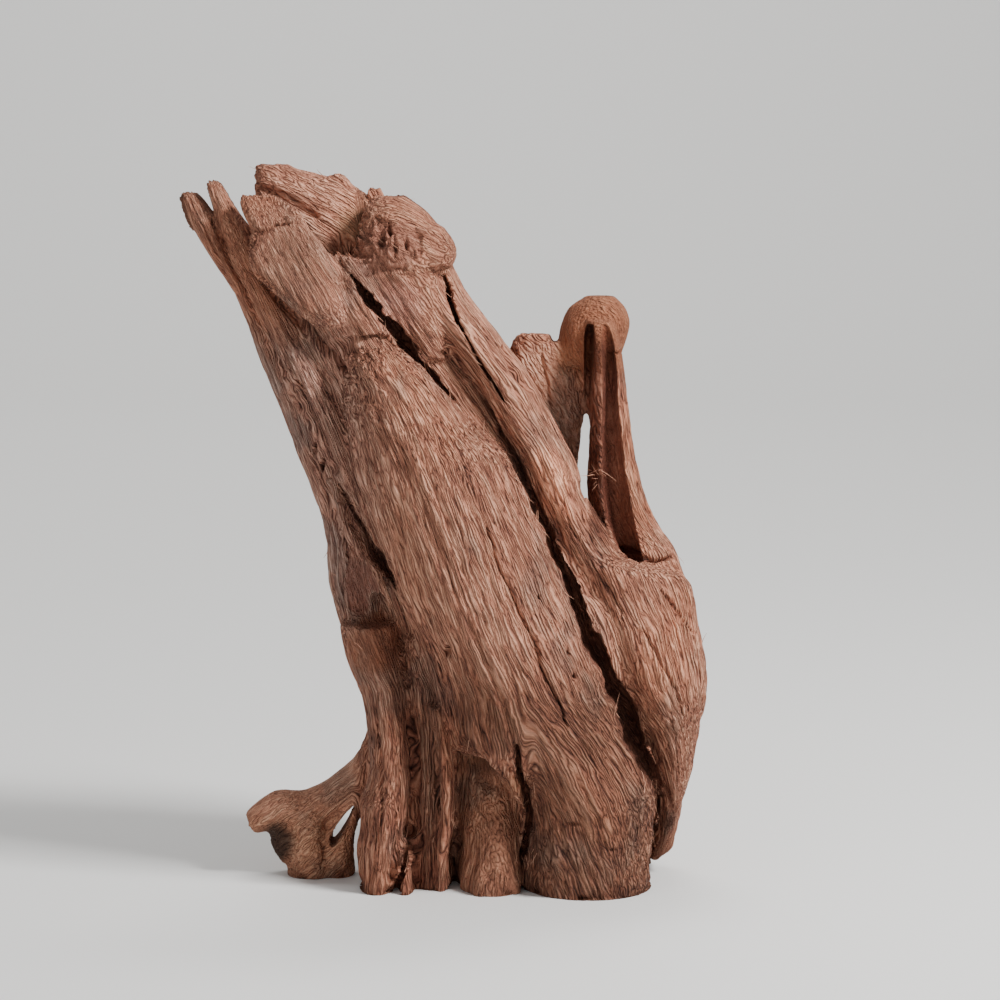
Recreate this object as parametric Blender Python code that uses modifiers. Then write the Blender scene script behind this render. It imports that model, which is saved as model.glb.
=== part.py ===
"""A weathered piece of driftwood that stands by itself on its sawn foot.

The trunk leans to the left and is a bundle of twisted strands with deep cracks between them.
Its upper end is broken into prongs, planks and a burl. On the right a hip rises into a hollow
spur, which a thin wing joins to the back of the trunk. A root stands out at the lower left.
The wood grew as one piece, so it is one solid.

Lists are in millimetres and the model is in metres. +Z is up, the front looks along -Y, and
the origin is the middle of the flat foot.
"""

import math

import bmesh
import bpy
from mathutils import Vector

MM = 0.001

# Driving dimensions of the model: the grain of its skin before and after the cracks are cut, the
# share of faces that is kept in the end, and the block whose top is the plane of the foot
FUSE_VOXEL = 1.2 * MM
CUT_VOXEL = 1.1 * MM
KEPT_FACES = 0.06
FLOOR_BLOCK = 0.3

# Sides of a strand's section, and steps between two of its stations
SIDES = 20
STEPS = 5
# How square a section is: 1 is an ellipse, and less is squarer
ROUND = 1.0
SQUARE = 0.6

WOOD_COLOUR = (0.36, 0.17, 0.105, 1.0)
WOOD_ROUGHNESS = 0.85

# The bulk of the trunk, as level slices from the foot to the broken end.
# Every slice is x, y, z of its middle, half width and half depth.
CORE = [
    (6, 5, -6, 34, 21),
    (8, 5, 22, 36, 23),
    (10, 4, 50, 42, 25),
    (8, 3, 75, 43, 26),
    (-3, 3, 95, 38, 26),
    (-13, 3, 115, 34, 25),
    (-21, 3, 130, 32, 25),
    (-30, 3, 146, 31, 24),
    (-38, 3, 161, 30, 23),
    (-46, 3, 176, 28, 20),
    (-52, 3, 186, 23, 16),
]

# Strands on the front, from the foot upwards
FRONT_STRANDS = {
    "main_flute": [
        (26, -14, -6, 19, 19.5),
        (26.5, -14, 8, 20, 20),
        (27, -14, 24, 21, 20.5),
        (25, -14, 33, 22.5, 21),
        (16.5, -14, 41, 28.5, 21),
        (12, -14, 47, 29.5, 21),
        (4.5, -14, 69, 27, 21),
        (-4.7, -14, 89, 26.5, 20.5),
        (-9.7, -14, 103, 26, 20),
        (-15, -14, 116, 25.2, 19.5),
        (-19.5, -14, 128, 24.5, 18.5),
        (-27, -14, 140, 19, 17),
        (-31, -14, 150, 15, 15.5),
        (-35, -14, 157, 11.5, 14),
        (-35.5, -14, 161, 7.5, 12),
    ],
    "apron": [
        (6.5, -20, 27.5, 1, 9),
        (5, -19, 31, 2.4, 11),
        (3.6, -18, 35, 4.2, 13),
        (0, -17.5, 40.5, 8.5, 14.5),
        (-3, -17, 48, 11.5, 15.5),
        (-4, -16, 64, 14, 16),
    ],
    "right_strip": [
        (47.5, 4, 5, 1.5, 5),
        (49, 4, 9, 3.5, 8),
        (50.5, 3, 15, 3.6, 10),
        (52, 1, 24, 4.2, 12),
        (52, -1, 34, 6, 13),
        (51.8, -2, 45, 8, 14),
        (50, -3, 54, 11.8, 16),
        (46, -3, 66, 15.6, 17),
        (42, -3, 78, 17, 16.5),
        (39.5, -3, 88, 18, 16),
        (35, -4, 94.5, 16.5, 15),
        (26, -4, 100, 10, 14),
        (18, -4, 115, 8, 14.5),
        (13.5, -4, 127, 8.4, 15),
        (6.5, -4, 139, 9, 15),
        (0, -4, 151, 9, 15),
        (-8.5, -4, 162, 9.5, 15),
        (-19.5, -4, 175, 10.5, 15),
        (-25.5, -6, 186, 10.5, 13),
    ],
    "left_column": [
        (-37, -15, -6, 5.4, 12),
        (-36, -15, 8, 6.2, 13.5),
        (-34.7, -14.5, 18, 7, 14),
        (-34.5, -14, 25, 7.4, 13.5),
        (-32.6, -12, 32, 6.2, 12.5),
        (-32.5, -11, 42, 6.2, 12),
        (-34.5, -10, 57, 6.8, 12),
        (-38, -9, 69, 8, 12),
        (-39.5, -9, 79, 8.5, 11),
    ],
    "small_toe": [(-28.4, -21, -6, 3.2, 7), (-28.4, -20, 8, 2.6, 6.5), (-29, -18, 16, 2, 5)],
    "dark_strip": [
        (-21, -9, -6, 6, 12),
        (-21, -9, 15, 6, 12),
        (-21, -8, 40, 6, 11),
        (-22, -9, 75, 7, 10),
    ],
    "toe_rim": [
        (-17.6, -12, -6, 2.8, 11),
        (-17.6, -12, 8, 2.6, 12),
        (-15.8, -13, 22, 2.4, 12.5),
        (-16.5, -14, 38, 2.6, 12.5),
        (-19, -13, 56, 3, 12),
    ],
    "scooped_toe": [
        (-2.2, -15, -6, 9.6, 14.5),
        (-2.2, -15, 4, 9.6, 13.8),
        (-2.4, -14, 14, 9.5, 11.5),
        (-2.6, -12, 24, 9.4, 9.8),
        (-3, -10, 34, 9.2, 9.2),
        (-3, -9, 42, 9, 9),
    ],
    "hollow_ridge": [
        (-37, -17, 96, 1, 3),
        (-40, -16.5, 100, 2.4, 4.5),
        (-45.5, -14.5, 110, 2.2, 5),
        (-50, -12.5, 122, 1.5, 4),
    ],
    "left_edge": [
        (-38, -2, 66, 6, 8),
        (-40.5, -2, 76, 7.5, 9),
        (-43, -2, 90, 8.2, 10.5),
        (-44.3, -2, 104, 7.5, 11.5),
        (-47, -3, 115, 7.5, 12),
        (-52.7, -3, 130, 7.7, 12),
        (-58.8, -3, 145, 7, 11),
        (-66, -3, 160, 6.3, 10),
        (-72.4, -4, 175, 5.8, 9),
        (-79.6, -4, 186, 5.6, 8),
        (-85, -4, 194, 5, 6),
        (-89.2, -4, 201, 3.9, 4),
        (-91.6, -4, 205.8, 3.1, 3),
    ],
    "second_prong": [
        (-38, -9, 88, 3, 8),
        (-36.5, -9, 103, 5, 9),
        (-40, -10, 116, 6.5, 9.5),
        (-47, -10, 130, 7.5, 10),
        (-54, -10, 146, 7.5, 10),
        (-62, -9, 162, 7, 9),
        (-70, -8, 178, 6.3, 8),
        (-76, -7, 192, 5, 6),
        (-80.7, -6, 201, 3.2, 4),
        (-84.2, -6, 209, 2.1, 2.5),
    ],
    "neck": [(-38, -13, 160, 9, 9), (-40, -14, 175, 9, 9), (-42, -12, 188, 8, 8)],
    "burl": [
        (-30, -8, 178, 10, 11),
        (-28.6, -9.5, 184, 12.6, 13),
        (-28.2, -10, 189, 13.8, 13.5),
        (-28.9, -10, 193, 13.4, 12.5),
        (-29.8, -9, 197, 11.4, 11),
        (-31, -8, 201, 8.8, 9),
        (-32.5, -7, 205, 4.5, 5.5),
    ],
}

# Broken planks at the top. Their sections are squarer than those of the strands.
PLANKS = {
    "front_plank": [
        (-49, -16, 168, 5, 6),
        (-52.8, -18, 174, 8.6, 6.5),
        (-57, -18.5, 180, 11, 6.2),
        (-59, -18.5, 184, 12.6, 6),
        (-62, -17.5, 190, 11, 5.6),
        (-64, -16, 196, 8.4, 5.2),
        (-67.5, -13, 202, 8, 4.2),
        (-70.5, -12, 205.5, 5, 3.5),
    ],
    "rear_wall": [
        (-54, 4, 184, 21, 11),
        (-55, 4, 196, 18, 8),
        (-56.5, 4, 206, 16.5, 5.5),
        (-62.5, 5, 211, 10.6, 4.2),
        (-67.5, 5, 214.2, 5, 3.4),
    ],
    "rear_knuckle": [(-48, 4, 202, 6, 5), (-48.5, 4, 208, 4.6, 4), (-49, 4, 211.6, 2.8, 3)],
    "rear_nub": [(-36.5, 2, 200, 4, 4), (-37.4, 2, 207.8, 1.5, 1.8)],
    "burl_skirt": [
        (-21, -7, 158, 7, 12),
        (-26, -7.5, 171, 10.5, 13),
        (-29.5, -8.5, 182, 12.5, 13),
        (-30, -9, 188, 13, 13),
    ],
    "burl_flap": [(-19.5, -13, 185.5, 5.2, 8), (-20.5, -12.5, 190, 7.2, 9), (-24, -11, 196, 7.5, 9)],
}

# Flutes of the back
BACK_STRANDS = {
    "back_left": [
        (-26, 19, -6, 9, 11),
        (-24, 18, 30, 10, 13),
        (-24, 16, 60, 12, 14),
        (-28, 15, 90, 13, 14),
        (-38, 15, 120, 13, 14),
        (-50, 14, 150, 12, 12),
        (-62, 10, 180, 8, 9),
    ],
    "back_middle": [
        (10, 22, -6, 12, 13),
        (8, 21, 45, 14, 15),
        (0, 20, 80, 15, 15),
        (-12, 19, 115, 14, 14),
        (-28, 17, 150, 12, 12),
        (-42, 14, 186, 9, 10),
    ],
    "back_right": [
        (38, 15, -6, 9, 10),
        (38, 15, 30, 10, 12),
        (36, 16, 60, 13, 13),
        (24, 17, 90, 14, 13),
        (8, 16, 120, 10, 12),
        (-6, 15, 145, 9, 11),
        (-18, 10, 170, 8, 9),
    ],
}

# The spur on the right, its knob, and the wing behind it
SPUR_STRANDS = {
    "spur": [
        (48, 4, 86, 9, 12),
        (43, 5, 98.5, 10, 13),
        (38.6, 7, 106, 9.6, 12.5),
        (35.8, 8, 114, 8.8, 12),
        (34, 8, 124.5, 7.6, 11),
        (32.6, 8, 135, 7.2, 10.5),
        (31.8, 8, 144, 6.8, 10),
        (31, 8, 158, 5.9, 9),
        (30, 9, 168, 4.6, 7),
    ],
    "knob": [
        (27, 13, 154, 9, 6),
        (28, 13, 162, 10.4, 7.5),
        (29, 13, 167, 10.4, 7.5),
        (29.4, 13, 171.5, 8.4, 6),
        (30.2, 13, 175, 4.2, 3.5),
    ],
    "wing": [
        (8, 17, 100, 16, 8),
        (9, 17, 118, 14, 6.5),
        (11, 17, 131, 14, 6),
        (12, 16, 143, 14, 6),
        (13, 15, 154, 13.5, 5.5),
        (16, 14, 161, 10, 4.5),
    ],
    "wing_ledge": [(9, 14, 150, 7.5, 5), (9.5, 14, 158, 7, 4.5), (10, 14, 163.6, 5.5, 3)],
}

# The root that stands out at the lower left. Its arm lies along its path, its legs are level.
ROOT_ARM = [
    (-30, 5, 46, 9, 13),
    (-38, 4, 33, 6.5, 11),
    (-44, 4, 27.5, 6, 9),
    (-52, 3, 21.8, 6.4, 8.5),
    (-60, 2, 19, 6.6, 8),
    (-66, 1, 19.2, 6.2, 7.5),
    (-71, 0, 17.9, 5, 6),
    (-75.6, 0, 15.6, 3.4, 4.5),
]
ROOT_LEGS = {
    "outer_leg": [
        (-57.5, -1, -6, 7.2, 7),
        (-57.5, -1, 5, 7.2, 7),
        (-58.5, -1, 12, 6.5, 7),
        (-59, 0, 20, 6, 7),
    ],
    "burnt_nub": [(-64, 1, 3, 2.4, 4), (-66, 1, 8, 4, 5), (-66.5, 1, 14, 4, 6)],
    "inner_leg": [
        (-49.5, -1, -6, 4.8, 6),
        (-49, -1, 9, 5.2, 6),
        (-46.5, 0, 17, 4.8, 6),
        (-42, 2, 26, 4.5, 7),
    ],
}

# Cracks, cut as thin blades that stand on the surface
CRACKS = {
    "main_crack": [
        (46.2, -22, -8, 1.5, 12),
        (46.8, -22, 19.6, 1.5, 12),
        (45.6, -22, 34.4, 3, 16),
        (41, -22, 44.7, 3.6, 18),
        (35, -22, 58, 3.2, 18),
        (29.3, -22, 71.3, 2.8, 18),
        (23.1, -22, 84.5, 2.4, 18),
        (16.4, -22, 101.7, 2, 16),
        (10, -22, 115.5, 1.8, 15),
        (5.3, -22, 127.3, 1.9, 15),
        (0, -22, 137, 1.9, 14),
        (-5, -22, 145.6, 1.9, 13),
        (-12.9, -22, 155.6, 1.8, 11),
        (-17.6, -22, 161.5, 1, 8),
    ],
    "upper_crack": [
        (-8, -21, 139.5, 0.9, 7),
        (-11.6, -22, 144.3, 1.7, 10),
        (-16, -22, 149.6, 1.8, 11),
        (-20.8, -22, 155.2, 1.8, 11),
        (-25.2, -21, 159.3, 2, 11),
        (-29.9, -21, 165, 3.2, 13),
        (-33, -21, 169, 2.9, 13),
        (-36.8, -21, 173.5, 2.4, 12),
        (-40.4, -21, 178.5, 1.7, 10),
        (-43.4, -21, 183.5, 0.8, 7),
    ],
    "foot_crack": [
        (5.8, -28, -8, 1.6, 14),
        (7.6, -28, 15.5, 1.6, 14),
        (7.6, -28, 27, 1.6, 13),
        (6.7, -30, 37, 1.3, 9),
        (4.9, -32, 47, 0.7, 5),
    ],
    "toe_notch": [(-13.4, -24, -8, 2, 15), (-13, -24, 12, 1.9, 13), (-13, -23, 24, 1.2, 8)],
    "small_toe_crack": [
        (-31.6, -27, -8, 1.4, 9),
        (-29.6, -27, 5, 1.4, 9),
        (-26.6, -26, 14, 1.2, 8),
        (-26.5, -25, 20, 0.6, 5),
    ],
    "edge_groove": [
        (0, -17, 147, 0.8, 6),
        (-3, -17, 152.5, 1.5, 8),
        (-6.5, -17, 158, 1.6, 8),
        (-11.3, -17, 167.5, 1.6, 8),
        (-14.3, -17, 175, 1.6, 8),
        (-16.6, -18, 183, 1.3, 8),
    ],
    "left_groove": [
        (-51, -17, 122, 0.9, 8),
        (-54.5, -16, 132, 1.9, 8),
        (-59, -15, 146, 1.9, 8),
        (-65.5, -14, 157, 1.9, 8),
        (-70, -13, 165, 1.9, 8),
        (-76.3, -12, 177, 1.9, 8),
        (-81.5, -10, 188, 1.8, 7),
        (-84.6, -9, 196, 1.6, 6),
    ],
    "plank_shadow": [
        (-46, -23, 157, 0.9, 7),
        (-50.5, -22, 161, 1.9, 9),
        (-55.5, -21, 165.5, 2, 10),
        (-62, -20, 171.5, 2, 10),
        (-69.5, -18, 179, 1.9, 9),
        (-74, -16, 186, 1.6, 7),
    ],
    "dark_hollow": [
        (-31.2, -18, 93, 0.9, 8),
        (-32.3, -18, 97.5, 2, 11),
        (-34, -18, 102, 2.2, 12),
        (-36.7, -18, 108.6, 1.6, 10),
        (-41.4, -17, 117.5, 0.9, 7),
    ],
}

# Hollows: the spur's channel and the slot beside it, the eye of the root, the scoop on the left
# and the one under the arch of the foot
HOLLOWS = {
    "spur_channel": [
        (43.5, -3.5, 94, 1.6, 5),
        (39.6, -3.5, 99, 3.4, 6.5),
        (36, -3.5, 108, 4.1, 7),
        (33.8, -3.5, 120.5, 4.2, 7),
        (32.5, -3.5, 135.7, 4, 6.8),
        (31.9, -2.5, 151, 3.6, 6),
        (31.4, -1, 162.5, 2.7, 4.5),
        (31, 0, 167, 1.2, 3),
    ],
    "spur_slot": [
        (24.6, 10, 113, 0.9, 18),
        (24.8, 10, 118, 1.9, 18),
        (25.3, 10, 126, 1.8, 18),
        (25.8, 9, 133, 1.5, 16),
        (26.2, 3, 140, 1.6, 11),
        (26.6, 2, 152, 1.6, 10),
        (26.8, 3, 163, 1.5, 9),
        (27, 4, 167, 0.9, 7),
    ],
    "root_eye": [
        (-50.8, 0, 10, 0.9, 14),
        (-49.8, 0, 12.6, 2, 14),
        (-47.9, 0, 16, 1.9, 14),
        (-45.6, 0, 19.6, 1.4, 14),
        (-44, 0, 22, 0.7, 12),
    ],
    "left_scoop": [
        (-42, -17.5, 80.8, 7.8, 6.5),
        (-42.5, -17.5, 84, 8.3, 7.8),
        (-43, -17.5, 90, 7.8, 7.3),
        (-43.5, -17, 97, 5.2, 5.5),
        (-44, -16, 103, 1.5, 3),
    ],
    "toe_scoop": [
        (-3, -31, 8, 7, 3),
        (-3, -30.5, 20, 8, 6.5),
        (-3.4, -30, 28, 8.4, 9.5),
        (-4.8, -30, 32, 7.6, 11),
        (-6.2, -30, 36, 6.2, 11.5),
        (-7.6, -30, 40, 4.2, 10.5),
        (-8, -30, 42.2, 1, 6),
    ],
}


def spline(stations, steps):
    """Points on a smooth curve through the stations, which may hold any number of values each."""
    padded = [stations[0], *stations, stations[-1]]
    points = []
    for before, start, end, after in zip(padded, padded[1:], padded[2:], padded[3:]):
        for step in range(steps):
            t = step / steps
            points.append(
                tuple(
                    0.5 * (2 * b + (c - a) * t + (2 * a - 5 * b + 4 * c - d) * t**2
                           + (3 * b - a - 3 * c + d) * t**3)
                    for a, b, c, d in zip(before, start, end, after)
                )
            )
    return points + [tuple(stations[-1])]


def bulge(value, shape):
    """The value pushed outwards, so that a section gets squarer."""
    return math.copysign(abs(value) ** shape, value)


def loft(name, stations, level=True, shape=ROUND):
    """A closed tube of oval sections. Level sections lie flat, others stand across the path."""
    sections = spline(stations, STEPS)
    mesh = bmesh.new()
    rings = []
    for index, (x, y, z, width, depth) in enumerate(sections):
        middle = Vector((x, y, z)) * MM
        ahead = Vector(sections[min(index + 1, len(sections) - 1)][:3])
        behind = Vector(sections[max(index - 1, 0)][:3])
        across = Vector((1, 0, 0))
        back = Vector((0, 1, 0))
        if not level:
            path = (ahead - behind).normalized()
            across = back.cross(path).normalized()
            back = path.cross(across)
        ring = []
        for side in range(SIDES):
            angle = math.tau * side / SIDES
            offset = across * width * bulge(math.cos(angle), shape)
            offset += back * depth * bulge(math.sin(angle), shape)
            ring.append(mesh.verts.new(middle + offset * MM))
        rings.append(ring)
    for low, high in zip(rings, rings[1:]):
        for side in range(SIDES):
            after = (side + 1) % SIDES
            mesh.faces.new((low[side], low[after], high[after], high[side]))
    mesh.faces.new(reversed(rings[0]))
    mesh.faces.new(rings[-1])
    bmesh.ops.recalc_face_normals(mesh, faces=mesh.faces)
    data = bpy.data.meshes.new(name)
    mesh.to_mesh(data)
    mesh.free()
    return bpy.data.objects.new(name, data)


def joined(name, pieces):
    """One mesh object that holds all the pieces."""
    mesh = bmesh.new()
    for piece in pieces:
        mesh.from_mesh(piece.data)
        bpy.data.objects.remove(piece)
    data = bpy.data.meshes.new(name)
    mesh.to_mesh(data)
    mesh.free()
    return bpy.data.objects.new(name, data)


def hide_as_cutter(piece, collection):
    """Keeps a cutter out of the render and shows it as a wire."""
    collection.objects.link(piece)
    piece.hide_render = True
    piece.display_type = "WIRE"


def wood_material():
    """Dry reddish brown wood."""
    material = bpy.data.materials.new("driftwood")
    material.use_nodes = True
    shader = material.node_tree.nodes["Principled BSDF"]
    shader.inputs["Base Color"].default_value = WOOD_COLOUR
    shader.inputs["Roughness"].default_value = WOOD_ROUGHNESS
    shader.inputs["Metallic"].default_value = 0.0
    return material


def remesh(piece, name, voxel):
    """Fuses what overlaps into one skin of small squares."""
    skin = piece.modifiers.new(name, "REMESH")
    skin.mode = "VOXEL"
    skin.voxel_size = voxel


def soften(piece, name, rounds):
    """Rounds the valleys where strands meet."""
    smooth = piece.modifiers.new(name, "SMOOTH")
    smooth.factor = 0.5
    smooth.iterations = rounds


for old in list(bpy.data.objects):
    bpy.data.objects.remove(old)

wood_collection = bpy.data.collections.new("driftwood_sculpture")
cutter_collection = bpy.data.collections.new("cracks_and_hollows")
floor_collection = bpy.data.collections.new("floor_cut")
for collection in (wood_collection, cutter_collection, floor_collection):
    bpy.context.scene.collection.children.link(collection)

strands = [loft("core", CORE), loft("root_arm", ROOT_ARM, level=False)]
for group in (FRONT_STRANDS, BACK_STRANDS, SPUR_STRANDS, ROOT_LEGS):
    strands += [loft(name, stations) for name, stations in group.items()]
strands += [loft(name, stations, shape=SQUARE) for name, stations in PLANKS.items()]

driftwood = joined("driftwood", strands)
driftwood.data.materials.append(wood_material())
wood_collection.objects.link(driftwood)

for name, stations in (CRACKS | HOLLOWS).items():
    hide_as_cutter(loft(name, stations), cutter_collection)

bpy.ops.mesh.primitive_cube_add(size=FLOOR_BLOCK, location=(0, 0, -FLOOR_BLOCK / 2))
floor_block = bpy.context.object
floor_block.name = "floor_block"
for holder in list(floor_block.users_collection):
    holder.objects.unlink(floor_block)
hide_as_cutter(floor_block, floor_collection)

remesh(driftwood, "fuse", FUSE_VOXEL)
soften(driftwood, "valleys", 2)
cracks = driftwood.modifiers.new("cracks", "BOOLEAN")
cracks.operand_type = "COLLECTION"
cracks.collection = cutter_collection
remesh(driftwood, "skin", CUT_VOXEL)
soften(driftwood, "lips", 1)
fewer = driftwood.modifiers.new("fewer_faces", "DECIMATE")
fewer.ratio = KEPT_FACES
foot = driftwood.modifiers.new("foot", "BOOLEAN")
foot.object = floor_block
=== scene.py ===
import math

import bpy
import numpy as np
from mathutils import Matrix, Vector
from mathutils.bvhtree import BVHTree


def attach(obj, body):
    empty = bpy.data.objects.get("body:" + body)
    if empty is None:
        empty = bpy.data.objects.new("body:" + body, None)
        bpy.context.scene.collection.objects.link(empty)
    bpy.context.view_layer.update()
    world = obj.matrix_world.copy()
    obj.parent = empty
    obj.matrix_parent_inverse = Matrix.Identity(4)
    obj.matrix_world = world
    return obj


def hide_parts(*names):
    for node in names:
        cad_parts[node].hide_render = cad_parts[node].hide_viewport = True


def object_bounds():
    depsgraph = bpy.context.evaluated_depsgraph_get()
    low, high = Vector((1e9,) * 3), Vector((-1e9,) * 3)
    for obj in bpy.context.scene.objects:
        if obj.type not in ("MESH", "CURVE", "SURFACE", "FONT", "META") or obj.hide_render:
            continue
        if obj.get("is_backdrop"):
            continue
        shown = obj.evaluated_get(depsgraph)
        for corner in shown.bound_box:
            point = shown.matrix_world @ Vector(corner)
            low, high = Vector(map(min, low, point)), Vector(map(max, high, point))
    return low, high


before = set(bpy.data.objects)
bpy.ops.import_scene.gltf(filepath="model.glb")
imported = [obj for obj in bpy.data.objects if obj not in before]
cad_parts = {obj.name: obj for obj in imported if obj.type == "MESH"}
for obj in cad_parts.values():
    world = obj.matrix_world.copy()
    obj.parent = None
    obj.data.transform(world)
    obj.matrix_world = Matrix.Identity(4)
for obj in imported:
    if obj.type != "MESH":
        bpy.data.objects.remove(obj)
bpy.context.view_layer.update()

# The trunk: solid root wood, bleached and worn by water. It grew as a bundle of strands that
# twist over each other, so each strand is a tube, and the tubes later fuse into one skin.
# A slice of a tube is x, y, z of its middle, half width and half depth, in millimetres.
MM = 0.001
ROUND = 1.0
SQUARE = 0.6
CORE = [
    (6, 5, -6, 34, 21),
    (8, 5, 22, 36, 23),
    (10, 4, 50, 42, 25),
    (8, 3, 75, 43, 26),
    (-3, 3, 95, 38, 26),
    (-13, 3, 115, 34, 25),
    (-21, 3, 130, 32, 25),
    (-30, 3, 146, 31, 24),
    (-38, 3, 161, 30, 23),
    (-46, 3, 176, 28, 20),
    (-52, 3, 186, 23, 16),
]
FRONT_STRANDS = {
    "main_flute": [
        (26, -14, -6, 19, 19.5),
        (26.5, -14, 8, 20, 20),
        (27, -14, 24, 21, 20.5),
        (25, -14, 33, 22.5, 21),
        (16.5, -14, 41, 28.5, 21),
        (12, -14, 47, 29.5, 21),
        (4.5, -14, 69, 27, 21),
        (-4.7, -14, 89, 26.5, 20.5),
        (-9.7, -14, 103, 26, 20),
        (-15, -14, 116, 25.2, 19.5),
        (-19.5, -14, 128, 24.5, 18.5),
        (-27, -14, 140, 19, 17),
        (-31, -14, 150, 15, 15.5),
        (-35, -14, 157, 11.5, 14),
        (-35.5, -14, 161, 7.5, 12),
    ],
    "apron": [
        (6.5, -20, 27.5, 1, 9),
        (5, -19, 31, 2.4, 11),
        (3.6, -18, 35, 4.2, 13),
        (0, -17.5, 40.5, 8.5, 14.5),
        (-3, -17, 48, 11.5, 15.5),
        (-4, -16, 64, 14, 16),
    ],
    "right_strip": [
        (47.5, 4, 5, 1.5, 5),
        (49, 4, 9, 3.5, 8),
        (50.5, 3, 15, 3.6, 10),
        (52, 1, 24, 4.2, 12),
        (52, -1, 34, 6, 13),
        (51.8, -2, 45, 8, 14),
        (50, -3, 54, 11.8, 16),
        (46, -3, 66, 15.6, 17),
        (42, -3, 78, 17, 16.5),
        (39.5, -3, 88, 18, 16),
        (35, -4, 94.5, 16.5, 15),
        (26, -4, 100, 10, 14),
        (18, -4, 115, 8, 14.5),
        (13.5, -4, 127, 8.4, 15),
        (6.5, -4, 139, 9, 15),
        (0, -4, 151, 9, 15),
        (-8.5, -4, 162, 9.5, 15),
        (-19.5, -4, 175, 10.5, 15),
        (-25.5, -6, 186, 10.5, 13),
    ],
    "left_column": [
        (-37, -15, -6, 5.4, 12),
        (-36, -15, 8, 6.2, 13.5),
        (-34.7, -14.5, 18, 7, 14),
        (-34.5, -14, 25, 7.4, 13.5),
        (-32.6, -12, 32, 6.2, 12.5),
        (-32.5, -11, 42, 6.2, 12),
        (-34.5, -10, 57, 6.8, 12),
        (-38, -9, 69, 8, 12),
        (-39.5, -9, 79, 8.5, 11),
    ],
    "small_toe": [(-28.4, -21, -6, 3.2, 7), (-28.4, -20, 8, 2.6, 6.5), (-29, -18, 16, 2, 5)],
    "dark_strip": [
        (-21, -9, -6, 6, 12),
        (-21, -9, 15, 6, 12),
        (-21, -8, 40, 6, 11),
        (-22, -9, 75, 7, 10),
    ],
    "toe_rim": [
        (-17.6, -12, -6, 2.8, 11),
        (-17.6, -12, 8, 2.6, 12),
        (-15.8, -13, 22, 2.4, 12.5),
        (-16.5, -14, 38, 2.6, 12.5),
        (-19, -13, 56, 3, 12),
    ],
    "scooped_toe": [
        (-2.2, -15, -6, 9.6, 14.5),
        (-2.2, -15, 4, 9.6, 13.8),
        (-2.4, -14, 14, 9.5, 11.5),
        (-2.6, -12, 24, 9.4, 9.8),
        (-3, -10, 34, 9.2, 9.2),
        (-3, -9, 42, 9, 9),
    ],
    "hollow_ridge": [
        (-37, -17, 96, 1, 3),
        (-40, -16.5, 100, 2.4, 4.5),
        (-45.5, -14.5, 110, 2.2, 5),
        (-50, -12.5, 122, 1.5, 4),
    ],
    "left_edge": [
        (-38, -2, 66, 6, 8),
        (-40.5, -2, 76, 7.5, 9),
        (-43, -2, 90, 8.2, 10.5),
        (-44.3, -2, 104, 7.5, 11.5),
        (-47, -3, 115, 7.5, 12),
        (-52.7, -3, 130, 7.7, 12),
        (-58.8, -3, 145, 7, 11),
        (-66, -3, 160, 6.3, 10),
        (-72.4, -4, 175, 5.8, 9),
        (-79.6, -4, 186, 5.6, 8),
        (-85, -4, 194, 5, 6),
        (-89.2, -4, 201, 3.9, 4),
        (-91, -4, 204.6, 3.2, 3),
        (-91.6, -4, 206.2, 2, 2.2),
    ],
    "second_prong": [
        (-38, -9, 88, 3, 8),
        (-36.5, -9, 103, 5, 9),
        (-40, -10, 116, 6.5, 9.5),
        (-47, -10, 130, 7.5, 10),
        (-54, -10, 146, 7.5, 10),
        (-62, -9, 162, 7, 9),
        (-70, -8, 178, 6.3, 8),
        (-76, -7, 192, 5, 6),
        (-80.7, -6, 201, 3.2, 4),
        (-83.8, -6, 208, 2.3, 2.6),
        (-84.5, -6, 209.6, 1.3, 1.6),
    ],
    "neck": [(-38, -13, 160, 9, 9), (-40, -14, 175, 9, 9), (-42, -12, 188, 8, 8)],
    "burl": [
        (-30, -8, 178, 10, 11),
        (-28.6, -9.5, 184, 12.6, 13),
        (-28.2, -10, 189, 13.8, 13.5),
        (-28.9, -10, 193, 13.4, 12.5),
        (-29.8, -9, 197, 11.4, 11),
        (-31, -8, 201, 8.8, 9),
        (-32.5, -7, 205, 4.5, 5.5),
    ],
}
BACK_STRANDS = {
    "back_left": [
        (-26, 19, -6, 9, 11),
        (-24, 18, 30, 10, 13),
        (-24, 16, 60, 12, 14),
        (-28, 15, 90, 13, 14),
        (-38, 15, 120, 13, 14),
        (-50, 14, 150, 12, 12),
        (-62, 10, 180, 8, 9),
    ],
    "back_middle": [
        (10, 22, -6, 12, 13),
        (8, 21, 45, 14, 15),
        (0, 20, 80, 15, 15),
        (-12, 19, 115, 14, 14),
        (-28, 17, 150, 12, 12),
        (-42, 14, 186, 9, 10),
    ],
    "back_right": [
        (38, 15, -6, 9, 10),
        (38, 15, 30, 10, 12),
        (36, 16, 60, 13, 13),
        (24, 17, 90, 14, 13),
        (8, 16, 120, 10, 12),
        (-6, 15, 145, 9, 11),
        (-18, 10, 170, 8, 9),
    ],
}

def smooth_path(stations, steps=7):
    """Points on a smooth curve through the stations."""
    rows = np.array(stations, float)
    padded = np.vstack([rows[:1], rows, rows[-1:]])
    t = np.linspace(0, 1, steps, endpoint=False)[:, None]
    spans = [
        0.5 * (2 * b + (c - a) * t + (2 * a - 5 * b + 4 * c - d) * t**2 + (3 * b - a - 3 * c + d) * t**3)
        for a, b, c, d in zip(padded, padded[1:], padded[2:], padded[3:])
    ]
    return np.vstack(spans + [rows[-1:]])


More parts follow.
